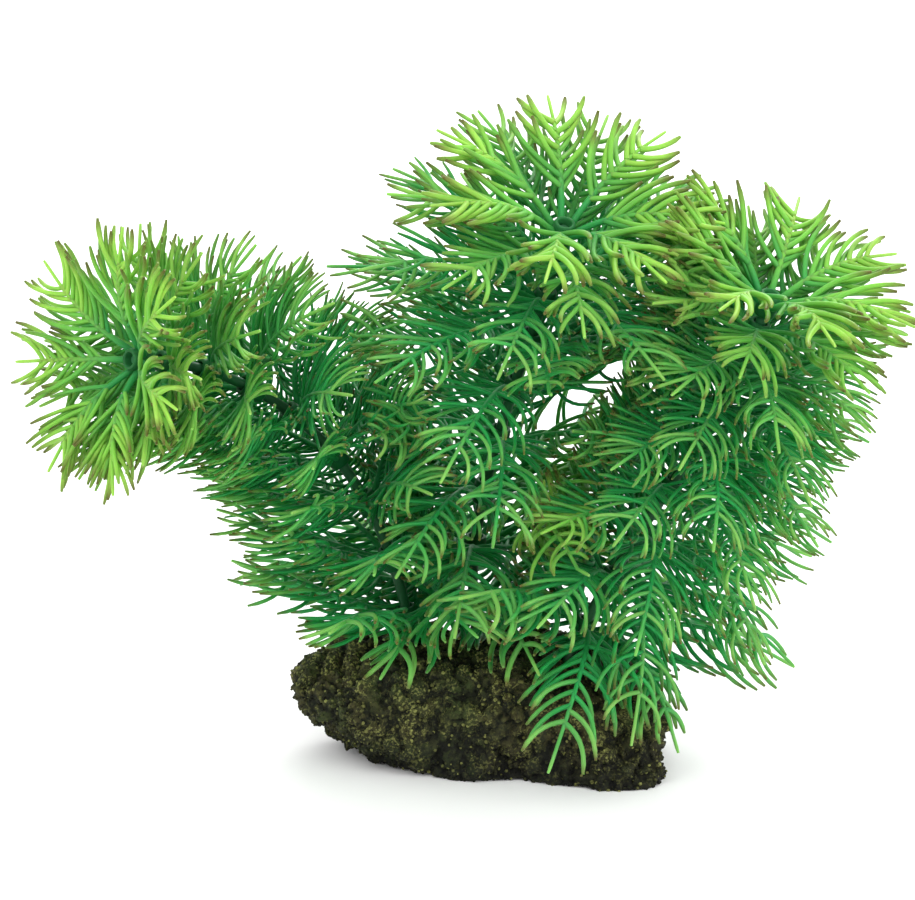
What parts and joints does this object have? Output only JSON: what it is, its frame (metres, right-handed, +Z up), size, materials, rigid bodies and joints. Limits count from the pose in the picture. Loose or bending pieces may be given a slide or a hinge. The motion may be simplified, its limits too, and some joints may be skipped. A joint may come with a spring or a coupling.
{
  "type": "artificial aquarium plant on a rock base",
  "caption": "Moulded plastic waterweed for an aquarium: leaning stems with whorls of feathery fronds, rising from a weighted base shaped and grained like rock.",
  "frame": {"origin": "middle of the rock's flat underside", "axes": "+Z up, -Y to the front, towards the picture's side, +X to the right as seen from the front"},
  "size_m": [0.1674, 0.0991, 0.1261],
  "materials": {
    "rock": "rough moulded gravel, mottled olive, brown and black",
    "foliage": "soft, slightly translucent moulded plastic with a low sheen",
    "crown_foliage": "soft, slightly translucent moulded plastic with a low sheen",
    "stem": "smooth flexible plastic rod"
  },
  "bodies": {
    "root": {"rock_base": "rock", "left_rod": "stem", "left_whorl_1": "foliage", "left_whorl_2": "foliage", "left_whorl_3": "foliage", "left_whorl_4": "foliage", "left_whorl_5": "foliage", "left_whorl_6": "foliage", "left_whorl_7": "foliage", "left_whorl_8": "foliage", "left_crown": "crown_foliage", "middle_rod": "stem", "middle_whorl_1": "foliage", "middle_whorl_2": "foliage", "middle_whorl_3": "foliage", "middle_whorl_4": "foliage", "middle_whorl_5": "foliage", "middle_whorl_6": "foliage", "middle_whorl_7": "foliage", "middle_whorl_8": "foliage", "middle_crown": "crown_foliage", "right_rod": "stem", "right_whorl_1": "foliage", "right_whorl_2": "foliage", "right_whorl_3": "foliage", "right_whorl_4": "foliage", "right_whorl_5": "foliage", "right_whorl_6": "foliage", "right_whorl_7": "foliage", "right_whorl_8": "foliage", "right_crown": "crown_foliage"}
  },
  "joints": []
}
